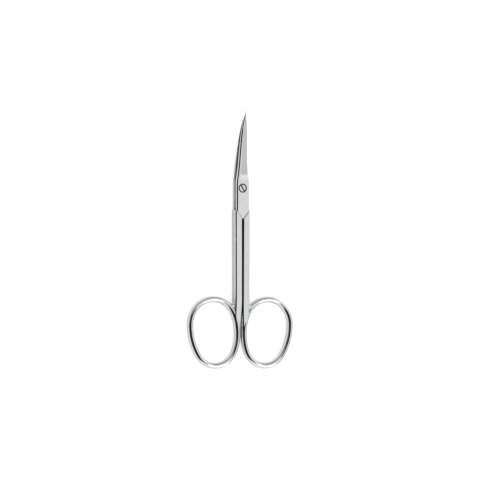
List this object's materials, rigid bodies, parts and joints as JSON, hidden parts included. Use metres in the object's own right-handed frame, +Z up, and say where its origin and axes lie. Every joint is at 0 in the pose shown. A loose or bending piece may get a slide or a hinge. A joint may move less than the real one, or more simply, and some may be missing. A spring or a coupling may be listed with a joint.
{
  "type": "cuticle scissors",
  "caption": "Curved cuticle scissors with slim upturned blades, half-lapped pivot, slotted screw and oval finger rings.",
  "frame": {"origin": "under the middle of the closed scissors, on the surface that they lie on", "axes": "+Y towards the blade tips, +Z up through the screw head, +X to the right of someone who looks at the screw head"},
  "size_m": [0.041, 0.0904, 0.0061],
  "materials": {
    "chrome_steel": "polished",
    "screw_steel": "polished"
  },
  "bodies": {
    "back": {"back_half": "chrome_steel", "pivot_screw": "screw_steel"},
    "front": {"front_half": "chrome_steel"}
  },
  "joints": [
    {"name": "blade_pivot", "type": "hinge", "parent": "back", "child": "front", "pos_m": [0, 0.01832, 0], "axis": [0, 0, 1], "range_deg": [0, 70]}
  ]
}
